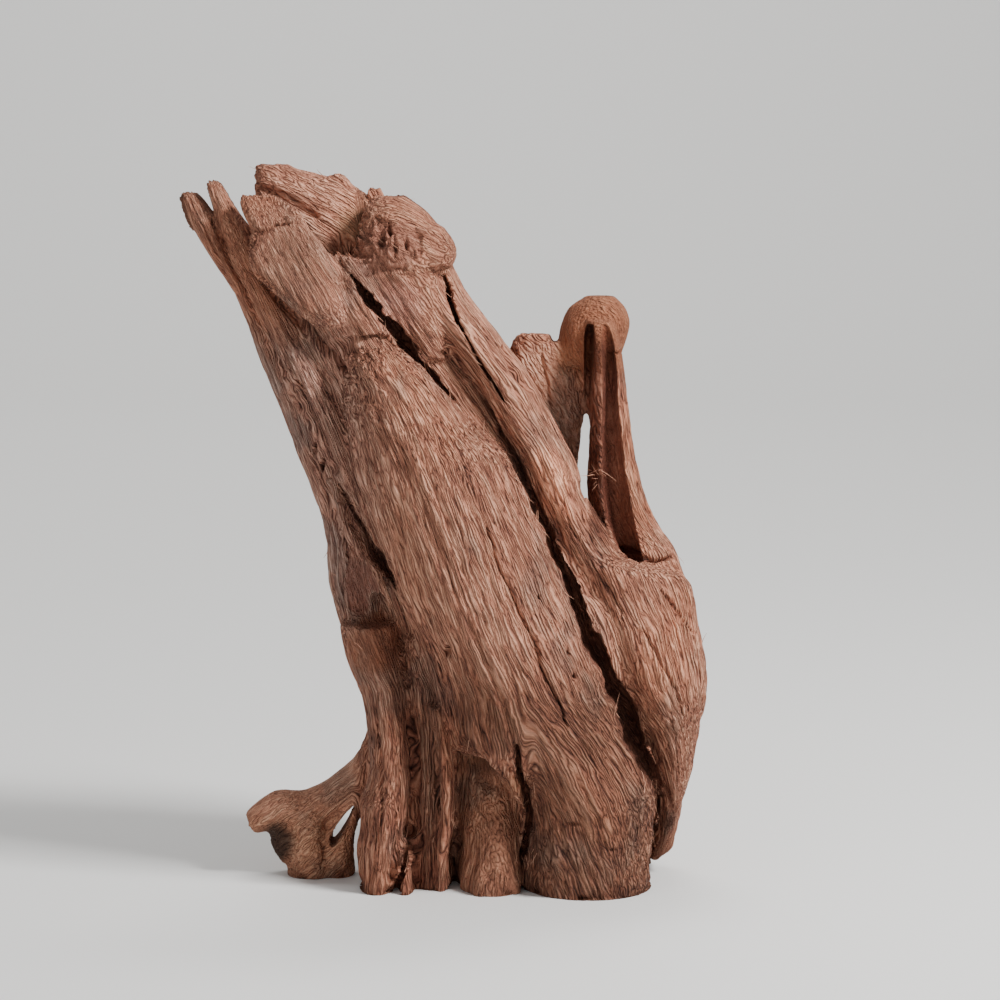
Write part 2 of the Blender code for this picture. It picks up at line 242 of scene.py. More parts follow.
def strand(stations, shape=ROUND, level=True, sides=36, steps=7):
    """A closed tube through the stations, as points in metres and faces."""
    path = smooth_path(stations, steps)
    angle = np.arange(sides) * (math.tau / sides)
    out = np.sign(np.cos(angle)) * np.abs(np.cos(angle)) ** shape
    deep = np.sign(np.sin(angle)) * np.abs(np.sin(angle)) ** shape
    across = np.tile([1.0, 0.0, 0.0], (len(path), 1))
    back = np.tile([0.0, 1.0, 0.0], (len(path), 1))
    if not level:
        ahead = np.gradient(path[:, :3], axis=0)
        ahead /= np.linalg.norm(ahead, axis=1)[:, None]
        across = np.cross(back, ahead)
        across /= np.linalg.norm(across, axis=1)[:, None]
        back = np.cross(ahead, across)
    rings = (
        path[:, None, :3]
        + across[:, None] * (path[:, None, 3:4] * out[None, :, None])
        + back[:, None] * (path[:, None, 4:5] * deep[None, :, None])
    )
    faces = []
    for ring in range(len(path) - 1):
        low = ring * sides
        for side in range(sides):
            after = (side + 1) % sides
            faces.append((low + side, low + after, low + sides + after, low + sides + side))
    faces.append(tuple(range(sides))[::-1])
    faces.append(tuple(range((len(path) - 1) * sides, len(path) * sides)))
    return rings.reshape(-1, 3) * MM, faces


def placed(name, data):
    """A new object in the scene."""
    thing = bpy.data.objects.new(name, data)
    bpy.context.scene.collection.objects.link(thing)
    return thing


def one_mesh(name, tubes):
    """One object that holds all the tubes."""
    points = []
    faces = []
    for tube_points, tube_faces in tubes:
        first = len(points)
        points.extend(map(tuple, tube_points))
        faces.extend(tuple(first + corner for corner in face) for face in tube_faces)
    mesh = bpy.data.meshes.new(name)
    mesh.from_pydata(points, [], faces)
    return placed(name, mesh)


grown = [strand(CORE)]
grown += [strand(stations) for group in (FRONT_STRANDS, BACK_STRANDS) for stations in group.values()]

# The crown, where the root snapped: planks of the trunk's own wood that split along the grain.
# Their lower ends are still grown to the trunk, and their edges are square.
PLANKS = {
    "front_plank": [
        (-49, -16, 168, 5, 6),
        (-52.8, -18, 174, 8.6, 6.5),
        (-57, -18.5, 180, 11, 6.2),
        (-59, -18.5, 184, 12.6, 6),
        (-62, -17.5, 190, 11, 5.6),
        (-64, -16, 196, 8.4, 5.2),
        (-67.5, -13, 202, 8, 4.2),
        (-70.5, -12, 205.5, 5, 3.5),
    ],
    "rear_wall": [
        (-54, 4, 184, 21, 11),
        (-55, 4, 196, 18, 8),
        (-56.5, 4, 206, 16.5, 5.5),
        (-62.5, 5, 211, 10.6, 4.2),
        (-66.5, 5, 213.4, 6, 3.6),
        (-67, 5, 214.8, 4, 2.4),
    ],
    "rear_knuckle": [(-48, 4, 202, 6, 5), (-48.5, 4, 208, 4.6, 4), (-49, 4, 211.6, 2.8, 3)],
    "rear_nub": [(-36.5, 2, 200, 4, 4), (-37.4, 2, 207.8, 1.5, 1.8)],
    "burl_skirt": [
        (-21, -7, 158, 7, 12),
        (-26, -7.5, 171, 10.5, 13),
        (-29.5, -8.5, 182, 12.5, 13),
        (-30, -9, 188, 13, 13),
    ],
    "burl_flap": [(-19.5, -13, 185.5, 5.2, 8), (-20.5, -12.5, 190, 7.2, 9), (-24, -11, 196, 7.5, 9)],
}
# The splinter that hangs into the left hollow.
HOLLOW_SPLINTER = [
    (-31.8, -22, 86, 0.5, 0.7),
    (-33.8, -21.5, 89.5, 1, 1.3),
    (-36, -20, 94, 1.5, 2.2),
    (-38.5, -18, 99, 1.6, 2.5),
]
grown += [strand(stations, shape=SQUARE) for stations in PLANKS.values()]
grown.append(strand(HOLLOW_SPLINTER))

# The hollow spur on the right with its knob, and the thin wing between it and the trunk. They are
# side roots that died back, still grown to the trunk's hip and back.
SPUR_STRANDS = {
    "spur": [
        (48, 4, 86, 9, 12),
        (43, 5, 98.5, 10, 13),
        (38.6, 7, 106, 9.6, 12.5),
        (35.8, 8, 114, 8.8, 12),
        (34, 8, 124.5, 7.6, 11),
        (32.6, 8, 135, 7.2, 10.5),
        (31.8, 8, 144, 6.8, 10),
        (31, 8, 158, 5.9, 9),
        (30, 9, 168, 4.6, 7),
    ],
    "knob": [
        (27, 13, 154, 9, 6),
        (28, 13, 162, 10.4, 7.5),
        (29, 13, 167, 10.4, 7.5),
        (29.4, 13, 171.5, 8.4, 6),
        (30.2, 13, 175, 4.2, 3.5),
    ],
    "wing": [
        (8, 17, 100, 16, 8),
        (9, 17, 118, 14, 6.5),
        (11, 17, 131, 14, 6),
        (12, 16, 143, 14, 6),
        (13, 15, 154, 13.5, 5.5),
        (16, 14, 161, 10, 4.5),
    ],
    "wing_ledge": [(9, 14, 150, 7.5, 5), (9.5, 14, 158, 7, 4.5), (10, 14, 163.6, 5.5, 3)],
}
grown += [strand(stations) for stations in SPUR_STRANDS.values()]

# The small root at the lower left, grown out of the trunk's side. Its arm is a tube square to its
# own path, and its legs and scorched nub are level slices like the strands.
ROOT_ARM = [
    (-30, 5, 46, 9, 13),
    (-38, 4, 33, 6.5, 11),
    (-44, 4, 27.5, 6, 9),
    (-52, 3, 21.8, 6.4, 8.5),
    (-60, 2, 19, 6.6, 8),
    (-66, 1, 19.2, 6.2, 7.5),
    (-71, 0, 17.9, 5, 6),
    (-75.6, 0, 15.6, 3.4, 4.5),
]
ROOT_LEGS = {
    "outer_leg": [
        (-57.5, -1, -6, 7.2, 7),
        (-57.5, -1, 5, 7.2, 7),
        (-58.5, -1, 12, 6.5, 7),
        (-59, 0, 20, 6, 7),
    ],
    "burnt_nub": [(-64, 1, 3, 2.4, 4), (-66, 1, 8, 4, 5), (-66.5, 1, 14, 4, 6)],
    "inner_leg": [
        (-49.5, -1, -6, 4.8, 6),
        (-49, -1, 9, 5.2, 6),
        (-46.5, 0, 17, 4.8, 6),
        (-42, 2, 26, 4.5, 7),
    ],
}
grown += [strand(ROOT_ARM, level=False)]
grown += [strand(stations) for stations in ROOT_LEGS.values()]

# The cracks that opened along the grain as the wood dried. Each is a thin blade with a ragged
# edge, which is cut out of the fused wood. A slice is as in a strand.
CRACKS = {
    "main_crack": [
        (46.2, -22, -8, 1.3, 12),
        (46.8, -22, 19.6, 1.4, 12),
        (45.6, -22, 34.4, 2.9, 16),
        (41, -22, 44.7, 3.5, 18),
        (35, -22, 58, 3.1, 18),
        (29.3, -22, 71.3, 2.6, 18),
        (23.1, -22, 84.5, 2, 18),
        (16.4, -22, 101.7, 1.5, 16),
        (10, -22, 115.5, 1.3, 15),
        (5.3, -22, 127.3, 1.4, 15),
        (0, -22, 137, 1.2, 14),
        (-5, -22, 145.6, 1.1, 13),
        (-12.9, -22, 155.6, 0.9, 11),
        (-17.6, -22, 161.5, 0.4, 8),
    ],
    "upper_crack": [
        (-6, -21, 137, 0.3, 5),
        (-11.6, -22, 144.3, 0.7, 8),
        (-16, -22, 149.6, 0.9, 10),
        (-20.8, -22, 155.2, 1.1, 11),
        (-25.2, -21, 159.3, 1.8, 11),
        (-29.9, -21, 165, 3.2, 13),
        (-33, -21, 169, 2.9, 13),
        (-36.8, -21, 173.5, 2.2, 12),
        (-40.4, -21, 178.5, 1.5, 10),
        (-43.4, -21, 183.5, 0.6, 7),
    ],
    "foot_crack": [
        (5.8, -28, -8, 1.2, 14),
        (7.6, -28, 15.5, 1.1, 14),
        (7.6, -28, 27, 1.3, 13),
        (6.7, -30, 37, 1.1, 9),
        (4.9, -32, 47, 0.5, 5),
    ],
    "toe_notch": [
        (-13.5, -24, -8, 1.5, 15),
        (-13, -24, 8, 1.5, 13),
        (-12.6, -23, 16, 0.9, 10),
        (-13, -22, 23, 0.4, 7),
    ],
    "small_toe_crack": [
        (-31.6, -27, -8, 0.9, 9),
        (-29.6, -27, 5, 0.8, 9),
        (-26.6, -26, 14, 0.7, 8),
        (-26.5, -25, 20, 0.4, 5),
    ],
    "edge_groove": [
        (2, -17, 144, 0.3, 5),
        (-3, -17, 152.5, 0.5, 7),
        (-6.5, -17, 158, 0.6, 7),
        (-11.3, -17, 167.5, 0.8, 8),
        (-14.3, -17, 175, 1.0, 8),
        (-16.6, -18, 183, 0.9, 8),
    ],
    "flute_edge": [
        (-31.1, -19, 89.8, 0.5, 6),
        (-32.9, -19, 94.8, 1.7, 10),
        (-36.4, -19, 100.7, 1.4, 9),
        (-40.5, -18.5, 108.1, 0.8, 7.5),
        (-45.5, -17.5, 117, 0.5, 6),
        (-48, -17, 122, 0.3, 4),
    ],
}
# Hollows that rot and water have worn smooth: the spur's channel and the slot beside it, the eye
# of the root, the scoop on the left and the one under the arch of the foot.
HOLLOWS = {
    "spur_channel": [
        (43.5, -3.5, 94, 1.6, 5),
        (39.6, -3.5, 99, 3.4, 6.5),
        (36, -3.5, 108, 4.1, 7),
        (34, -3.5, 120.5, 3.9, 7),
        (33.2, -3.5, 135.7, 3.1, 6.8),
        (32.9, -2.5, 151, 2.4, 6),
        (32.2, -1, 162.5, 2, 4.5),
        (31.5, 0, 167, 1.2, 3),
    ],
    "spur_slot": [
        (24.6, 10, 113, 0.9, 18),
        (24.8, 10, 118, 1.9, 18),
        (25.3, 10, 126, 1.8, 18),
        (25.8, 9, 133, 1.5, 16),
        (26.2, 3, 140, 1.6, 11),
        (26.6, 2, 152, 1.6, 10),
        (26.8, 3, 163, 1.5, 9),
        (27, 4, 167, 0.9, 7),
    ],
    "root_eye": [
        (-50.8, 0, 10, 0.6, 14),
        (-49.8, 0, 12.6, 1.3, 14),
        (-47.9, 0, 16, 1.4, 14),
        (-45.6, 0, 19.6, 1.1, 14),
        (-44, 0, 22, 0.5, 12),
    ],
    "left_scoop": [
        (-42, -17.5, 80.8, 7.8, 6.5),
        (-42.5, -17.5, 84, 8.3, 7.8),
        (-43, -17.5, 90, 7.8, 7.3),
        (-43.5, -17, 97, 5.2, 5.5),
        (-44, -16, 103, 1.5, 3),
    ],
    "toe_scoop": [
        (-3, -31, 8, 7, 3),
        (-3, -30.5, 20, 8, 6.5),
        (-3.4, -30, 28, 8.4, 9.5),
        (-4.8, -30, 32, 7.8, 12.5),
        (-6.2, -30, 36, 6.6, 13.5),
        (-7.4, -30, 40, 5, 13.5),
        (-7.8, -30, 42.4, 2.5, 10),
    ],
}
FOOT_BLOCK = 300
STRAND_VOXEL = 0.8
BLADE_VOXEL = 0.3
SKIN_VOXEL = 0.3
SMOOTHING = 0.5
CRACK_SEED = 21
WIDEST_WANDER = 1.6
# How raggedness repeats along a blade: every so many mm, then its share of wander and of width.
RAGGED_WAVES = ((9, 0.7, 0.2), (3.5, 0.35, 0.25), (1.3, 0.16, 0.2))


def ragged(stations, draw):
    """The stations of a blade, closer together, with an edge that wanders and a width that varies."""
    rows = smooth_path(stations, steps=16)
    height = rows[:, 2]
    for reach, wander, swell in RAGGED_WAVES:
        marks = np.arange(height[0] - reach, height[-1] + 2 * reach, reach)
        thickness = np.minimum(rows[:, 3], WIDEST_WANDER)
        rows[:, 0] += thickness * wander * np.interp(height, marks, draw.uniform(-1, 1, len(marks)))
        rows[:, 3] *= 1 + swell * np.interp(height, marks, draw.uniform(-1, 1, len(marks)))
    return rows


def fused(solid, name, voxel, rounds):
    """Adds the modifiers that turn overlapping tubes into one skin."""
    skin = solid.modifiers.new(name, "REMESH")
    skin.mode = "VOXEL"
    skin.voxel_size = voxel * MM
    soft = solid.modifiers.new(name + "_smooth", "SMOOTH")
    soft.factor = SMOOTHING
    soft.iterations = rounds


def baked(solid, name):
    """A new object with the solid's modifiers applied. The old one goes."""
    ready = bpy.context.evaluated_depsgraph_get()
    mesh = bpy.data.meshes.new_from_object(solid.evaluated_get(ready))
    fresh = placed(name, mesh)
    bpy.data.objects.remove(solid)
    fresh.name = name
    return fresh


wood = one_mesh("driftwood_wood", grown)
fused(wood, "grown_together", STRAND_VOXEL, rounds=2)
wood = baked(wood, "driftwood_wood")
uncut_points = [point.co / MM for point in wood.data.vertices]
uncut = BVHTree.FromPolygons(uncut_points, [tuple(face.vertices) for face in wood.data.polygons])
draw = np.random.default_rng(CRACK_SEED)
cutters = [strand(ragged(stations, draw), sides=24, steps=1) for stations in CRACKS.values()]
cutters += [strand(stations) for stations in HOLLOWS.values()]
blades = one_mesh("blades", cutters)
fused(blades, "blades_joined", BLADE_VOXEL, rounds=0)
blades = baked(blades, "blades")
bpy.ops.mesh.primitive_cube_add(size=FOOT_BLOCK * MM, location=(0, 0, -FOOT_BLOCK * MM / 2))
block = bpy.context.object
for name, tool in (("cracks", blades), ("foot", block)):
    cut = wood.modifiers.new(name, "BOOLEAN")
    cut.object = tool
    cut.solver = "MANIFOLD"
fused(wood, "skin", SKIN_VOXEL, rounds=2)
wood = baked(wood, "driftwood_wood")
for tool in (blades, block):
    bpy.data.objects.remove(tool)

# The skin: weathering has opened the wood along its grain into bundles, strings and fibres. The
# grain runs up along flow lines, from the foot to the broken crown. A flow line is named by its
# place across the grain in millimetres, and holds its x at each of the levels.
LEFT_EDGE = -50
FLUTE_LEFT = -24
MAIN_CRACK = 32
SPUR_FOOT = 46
RIGHT_EDGE = 64
LEVELS = [0, 25, 45, 60, 78, 90, 100, 110, 120, 130, 140, 150, 160, 170, 180, 190, 200, 216]
FLOW_LINES = {
    LEFT_EDGE: [
        -42, -42, -39, -41.4, -48.5, -51, -51.5, -52.8, -55.5,
        -60.2, -63.8, -67.8, -72, -76.3, -81, -86.5, -91, -98,
    ],
    FLUTE_LEFT: [
        -17, -17, -17, -19, -26.5, -31, -34.5, -38, -41,
        -44.5, -48, -52, -57, -62, -67, -72, -76.5, -84,
    ],
    MAIN_CRACK: [46, 46, 41, 34, 26, 21, 17, 12.5, 8, 4, -1.5, -8, -16, -23, -30, -37, -43, -52],
    SPUR_FOOT: [47, 53, 52, 50, 46, 40, 35, 29, 25, 21, 15, 9, 2.5, -5, -12, -20, -26, -36],
    RIGHT_EDGE: [48, 57, 60, 62, 60, 58, 53, 47, 43, 41, 39.5, 38.5, 37, 36, 34, 32, 30, 27],
}
# The crown's wall and cap and the root's arm have straight grain of their own, which leans to the
# left by so many degrees.
WALL_LEAN = 55
CAP_LEAN = 62
ARM_LEAN = -50
# The grain slants more in the foot of the main flute, and is longer than the trunk is tall.
FOOT_SLANT = 0.32
ALONG_THE_LEAN = 1.1
HILL_CELLS = 2048


class Hills:
    """Smooth random hills over three coordinates, from -1 to 1, the same on every run."""

    def __init__(self, seed):
        draw = np.random.default_rng(seed)
        self.order = draw.permutation(HILL_CELLS).astype(np.int32)
        self.height = draw.uniform(-1, 1, HILL_CELLS).astype(np.float32)

    def __call__(self, a, b, c):
        cells = [np.floor(value).astype(np.int32) for value in (a, b, c)]
        parts = [(value - cell).astype(np.float32) for value, cell in zip((a, b, c), cells)]
        parts = [part * part * (3 - 2 * part) for part in parts]
        total = np.zeros(len(a), np.float32)
        for da in (0, 1):
            weight_a = parts[0] if da else 1 - parts[0]
            row = self.order[(cells[0] + da) % HILL_CELLS]
            for db in (0, 1):
                weight_ab = weight_a * (parts[1] if db else 1 - parts[1])
                column = self.order[(row + cells[1] + db) % HILL_CELLS]
                for dc in (0, 1):
                    weight = weight_ab * (parts[2] if dc else 1 - parts[2])
                    total += weight * self.height[(column + cells[2] + dc) % HILL_CELLS]
        return total


def ramp(value, low, high):
    """0 below low, 1 above high, smooth between. It falls where low is the higher number."""
    t = np.clip((value - low) / (high - low), 0, 1)
    return t * t * (3 - 2 * t)


def blend(first, second, share):
    """Mixes two sets of grain coordinates."""
    return tuple(one + (other - one) * share for one, other in zip(first, second))


def trunk_grain(x, y, z):
    """Across the grain, into the wood, and along the grain, in millimetres."""
    lines = [(name, np.interp(z, LEVELS, reached)) for name, reached in FLOW_LINES.items()]
    across = lines[0][0] + (x - lines[0][1])
    for (left_name, left), (right_name, right) in zip(lines, lines[1:]):
        share = (x - left) / np.maximum(right - left, 1)
        across = np.where(x > left, left_name + share * (right_name - left_name), across)
    across = np.where(x > lines[-1][1], lines[-1][0] + (x - lines[-1][1]), across)
    across += FOOT_SLANT * np.minimum(z - 60, 0) * ramp(x, 6, 11) * ramp(y, 4, -6)
    return across, y, z * ALONG_THE_LEAN


def turned(x, y, z, anchor, degrees):
    """Straight grain that leans to the left by the angle, matched to the trunk's at the anchor."""
    lean = math.radians(degrees)
    dx = x - anchor[0]
    dz = z - anchor[1]
    at_anchor = trunk_grain(np.array([anchor[0]]), np.array([0.0]), np.array([anchor[1]]))
    across = dx * math.cos(lean) + dz * math.sin(lean) + at_anchor[0][0]
    along = dz * math.cos(lean) - dx * math.sin(lean) + at_anchor[2][0]
    return across, y, along


def on_rear_wall(x, y, z):
    """1 on the wall behind the crown."""
    return ramp(z + 0.3 * (x + 60), 185, 188) * ramp(y, -6, -4) * ramp(x, -40, -43)


def on_arm(x, z):
    """1 on the root's arm."""
    return ramp(x, -41, -45) * ramp(z, 46, 38)


def grain_at(x, y, z):
    """The grain of the whole piece: the trunk's, turned in the crown and in the root's arm."""
    grain = trunk_grain(x, y, z)
    grain = blend(grain, turned(x, y, z, (-50, 190), WALL_LEAN), on_rear_wall(x, y, z))
    return blend(grain, turned(x, y, z, (-43, 31), ARM_LEAN), on_arm(x, z))


def lean_at(x, y, z):
    """How far the grain leans to the left, in radians."""
    lean = np.interp(z, [0, 60, 90, 150, 200], [0.0, 0.25, 0.42, 0.55, 0.5])
    spur = ramp(x, 18, 24) * ramp(z, 98, 108)
    lean = lean + (math.radians(WALL_LEAN) - lean) * on_rear_wall(x, y, z)
    lean = lean + (math.radians(ARM_LEAN) - lean) * on_arm(x, z)
    return lean + (0.06 - lean) * spur


def in_blade(x, y, z, stations, margin):
    """1 on the walls of a crack that the blade cut, 0 away from it."""
    rows = np.array(stations, float)
    middle_x, middle_y, wide, thick = (np.interp(z, rows[:, 2], rows[:, column]) for column in (0, 1, 3, 4))
    reach = ((x - middle_x) / (wide + margin)) ** 2 + ((y - middle_y) / (thick + margin)) ** 2
    inside = (z > rows[0, 2] - margin) & (z < rows[-1, 2] + margin)
    return np.where(inside, ramp(reach, 1.35, 0.8), 0)


def walls_of(blades, margin):
    """1 on the walls that any of the blades cut, 0 away from them."""
    return np.maximum.reduce([in_blade(x, y, z, stations, margin) for stations in blades.values()])


def numbers(items, name, width, kind=np.float32):
    """Reads one property of all the items into rows."""
    flat = np.empty(len(items) * width, kind)
    items.foreach_get(name, flat)
    return flat.reshape(-1, width) if width > 1 else flat


# Fine cracks and grooves that only open the skin: points x, z on the front, then half width and
# depth in millimetres, and how much painted shade darkens them.
GROOVES = {
    "flute_line": (
        [(-4.3, 110.7), (-0.3, 99.7), (4.9, 88), (9.3, 79), (13.3, 67.6), (17.3, 58.3), (20, 50.5)],
        0.45, 1.5, 0.7,
    ),
    "flute_side": ([(-22, 76), (-18.5, 68), (-16, 60.5), (-14.5, 52)], 0.45, 0.9, 0.5),
    "strip_line": ([(16, 122), (21, 109), (27.5, 97), (33, 88), (36.5, 80)], 0.4, 0.8, 0.5),
    "strip_low": ([(42, 79), (47, 69.5), (52, 60), (55, 52)], 0.45, 1.0, 0.6),
    "hip_line": ([(47.5, 90), (53, 82.5), (57.6, 75)], 0.4, 0.9, 0.6),
    "spur_base": ([(36, 100.5), (41, 98), (46.5, 96.8), (52, 97.4)], 0.65, 2.4, 0.95),
    "column_line": ([(-37, 60), (-35.5, 45), (-35, 30), (-36, 12)], 0.5, 1.0, 0.5),
    "toe_one": ([(-30.5, 26), (-31, 14), (-32.5, 3)], 0.5, 1.0, 0.5),
    "plank_layer": (
        [(-73, 190), (-71.5, 194), (-68.5, 195.2), (-65, 197.6), (-58.6, 198.2)],
        0.6, 1.2, 0.4,
    ),
    "rim_step": ([(33.5, 158.3), (36, 159), (39, 158)], 0.5, 1.2, 0.4),
    "wing_line": ([(12.5, 158), (13.5, 150), (15.5, 140)], 0.45, 0.8, 0.4),
    "wing_gap": ([(0.5, 161.5), (4, 155), (9, 148)], 1.0, 2.5, 0.7),
    "flute_overhang": ([(-48.5, 124), (-52, 133), (-56.5, 143), (-60.5, 152)], 1.5, 2.2, 0.35),
    "left_groove": (
        [(-84.5, 199), (-80, 188), (-74.5, 176), (-70, 165), (-65, 156), (-60, 145), (-56, 137)],
        0.8, 1.8, 0.5,
    ),
    "prong_line": ([(-88, 198), (-83, 186), (-78, 176), (-73, 163)], 0.5, 0.9, 0.4),
    "under_plank": (
        [(-72, 184), (-66.5, 178), (-60, 170.5), (-54, 164.5), (-48, 158.5), (-44, 152)],
        1.1, 3.0, 0.65,
    ),
    "inner_groove": ([(-55.5, 130), (-52.6, 122.2), (-48.7, 110.3), (-44.3, 98.4)], 0.9, 1.8, 0.5),
    "flute_lip": (
        [(-48.5, 158), (-47.1, 161.3), (-43.1, 164.8), (-35.5, 165.4), (-28.5, 163.7), (-24.5, 160.1)],
        1.7, 1.7, 0.1,
    ),
    "rear_recess": ([(-72.8, 209), (-67.7, 206.5), (-60.2, 202.2), (-54, 199)], 2.0, 1.7, 0.25),
    "dark_strip_left": ([(-26.5, 52), (-25.5, 38), (-25, 24), (-24, 12)], 1.0, 1.6, 0.5),
    "dark_strip_right": ([(-19.5, 50), (-18.5, 38), (-18.4, 24)], 0.7, 1.3, 0.5),
    "root_crack": ([(-54.5, 13), (-53.2, 8), (-54, 3)], 0.45, 1.0, 0.6),
}
# Pits and worm holes: x and z on the front, radius across and along the grain, depth.
PITS = [
    (-15.4, 73.6, 0.9, 1.7, 3.0),
    (20.3, 73.5, 0.5, 0.9, 1.2),
    (21.8, 66.2, 0.6, 0.9, 1.3),
    (11.6, 89.5, 0.5, 0.8, 1.0),
    (21.8, 23, 2.2, 0.7, 1.0),
    (33, 15.2, 1.1, 0.7, 0.9),
    (0, 37.6, 0.9, 0.8, 1.4),
    (2.9, 39, 0.8, 0.8, 1.3),
    (6.3, 36, 0.8, 0.8, 1.3),
    (-54.8, 131.5, 0.55, 1.7, 3.2),
    (-52.5, 126.4, 0.55, 1.9, 3.0),
    (-70, 195.5, 1.5, 0.8, 1.6),
    (-35, 193.5, 1.4, 2.4, 2.6),
    (-32.2, 196, 0.7, 1.7, 2.0),
    (-30.6, 190.5, 0.8, 1.9, 2.2),
    (-27, 192, 0.6, 1.6, 1.6),
]

places = numbers(wood.data.vertices, "co", 3).astype(np.float64) / MM
normals = numbers(wood.data.vertices, "normal", 3)
faces = numbers(wood.data.loops, "vertex_index", 1, np.int32).reshape(-1, 4)
x, y, z = places.T
across, deep, along = grain_at(x, y, z)
lean = lean_at(x, y, z)
walls = walls_of(CRACKS, margin=1.3)
smooth_walls = walls_of(HOLLOWS, margin=0.8)
buried = np.zeros(len(x))
for index in np.flatnonzero((walls > 0) | (smooth_walls > 0)):
    buried[index] = uncut.find_nearest(places[index])[3]
inner = ramp(walls, 0, 0.3) * ramp(buried, 0.4, 3.5)
scooped = ramp(smooth_walls, 0, 0.3) * ramp(buried, 0.3, 1.2)

# The burl: a round cap whose grain turns away from the trunk's, over a face that has rotted to
# crumbs on its left side.
below_cap = 186.5 - 0.35 * (x + 20)
burl = ramp(np.hypot(x + 29, z - 192), 17.5, 16.5) * ramp(y, -4, -7) * ramp(z - below_cap, -1, 0.5)
across, deep, along = blend((across, deep, along), turned(x, y, z, (-24, 188), CAP_LEAN), burl)
lean = lean + (math.radians(CAP_LEAN) - lean) * burl
grain_way = np.stack([-np.sin(lean), np.zeros(len(x)), np.cos(lean)], axis=1)
ragged_edge = 0.22 * Hills(19)(x / 3, y / 3, z / 3)
crumble = ramp(np.hypot((x + 33) / 11.5, (z - 190.5) / 8.2) + ragged_edge, 1.0, 0.88) * ramp(y, -6, -8)

# The relief along the grain. The grain sways a little on its way up, and the softer wood between
# the fibres has gone, which leaves rounded ridges with narrow gaps: bundles, strings and fibres.
RIDGE_ROUNDNESS = 0.6


def opened(seed, width, length):
    """Ridges of this width and length along the grain, 0 in the gaps between them."""
    return np.abs(Hills(seed)(across / width, deep / width, along / length)) ** RIDGE_ROUNDNESS


slow_sway = Hills(3)
quick_sway = Hills(4)
sway = (
    1.4 * slow_sway(across / 12, deep / 12, along / 45)
    + 0.34 * quick_sway(across / 4, deep / 4, along / 9)
    + 0.16 * quick_sway(across / 2, deep / 2, along / 3)
)
dive = (
    1.4 * slow_sway(across / 12 + 40, deep / 12, along / 45)
    + 0.34 * quick_sway(across / 4, deep / 4 + 40, along / 9)
)
across = across + sway
deep = deep + dive
bundles = opened(5, width=4.4, length=40)
strings = opened(9, width=2.2, length=17)
fibres = opened(6, width=1.15, length=9)
slow = Hills(7)(across / 16, deep / 16, along / 40)
lumps = Hills(11)(x / 2.6, y / 2.6, z / 2.6)

# Where the wood is worn smooth, from 0 to 1: the hollows, the knob and wing, the ends of the grain,
# the crown and the root.
knob = ramp(x, 15, 20) * ramp(z, 148, 156)
toe = ramp(np.abs(x + 3), 11, 8.5) * ramp(z, 43, 40) * ramp(y, -31, -28)
wing = ramp(x, 4, 9) * ramp(y, 6, 9) * ramp(z, 100, 110) * ramp(z, 162, 158)
end_facing = (normals * grain_way).sum(axis=1)
end_grain = ramp(np.abs(end_facing), 0.45, 0.85)
bulge = ramp(np.hypot((x + 37.5) / 9, (z - 73) / 9), 1.1, 0.7) * ramp(y, 0, -6)
worn = np.maximum.reduce(
    [
        0.8 * scooped,
        0.6 * inner,
        knob,
        0.6 * wing,
        0.5 * bulge,
        0.45 * end_grain,
        0.4 * ramp(z, 163, 175),
        0.6 * on_arm(x, z),
        0.5 * toe,
        crumble,
    ]
)

# How far each point of the skin stands out, in millimetres: the relief, the burl's crumbs, the
# lumps of the foot, and the nicks along its lower edge.
relief = 0.62 * (bundles - 0.5) + 0.62 * (strings - 0.45) + 0.42 * (fibres - 0.45)
height = (1 - 0.8 * worn) * relief + 0.5 * slow
drift = 1.6 * lumps
crumbs = np.abs(Hills(15)((x + 0.5 * z + drift) / 2.1, (y + drift) / 2.1, z / 4.4)) ** 0.7
crumbs = 0.6 * crumbs + 0.4 * np.abs(Hills(18)((x + drift) / 1.1, y / 1.1, z / 1.8)) ** 0.7
height += crumble * ((1.7 + 1.3 * lumps) * crumbs - 1.5)
foot_lumps = ramp(z, 45, 8) * ramp(x, -75, -60)
height += foot_lumps * (1.3 * Hills(14)(x / 8, y / 8, z / 13) + 0.5 * Hills(16)(x / 3.5, y / 3.5, z / 6))
height -= ramp(z, 3.5, 0) * np.clip(Hills(17)(x / 3.5, y / 3.5, z / 3.5) + 0.1, 0, 1) * 2.2

# The torn ends of the crown and of the root, where the fibres stand out as short spikes.
torn = ramp(end_facing, 0.3, 0.75) * ramp(z, 150, 170) * ramp(x, 10, 0) * (1 - 0.7 * burl)
torn *= 1 - 0.6 * ramp(x, -60, -66)
torn = np.maximum(torn, 0.25 * ramp(-normals[:, 0], 0.4, 0.8) * ramp(x, -66, -72) * ramp(z, 34, 28))
thick_spikes = 1.5 * Hills(12)(across / 1.6, deep / 1.6, along / 60)
thin_spikes = 1.2 * Hills(13)(across / 0.8, deep / 0.8, along / 60)
spikes = torn * (thick_spikes + thin_spikes - 0.3)
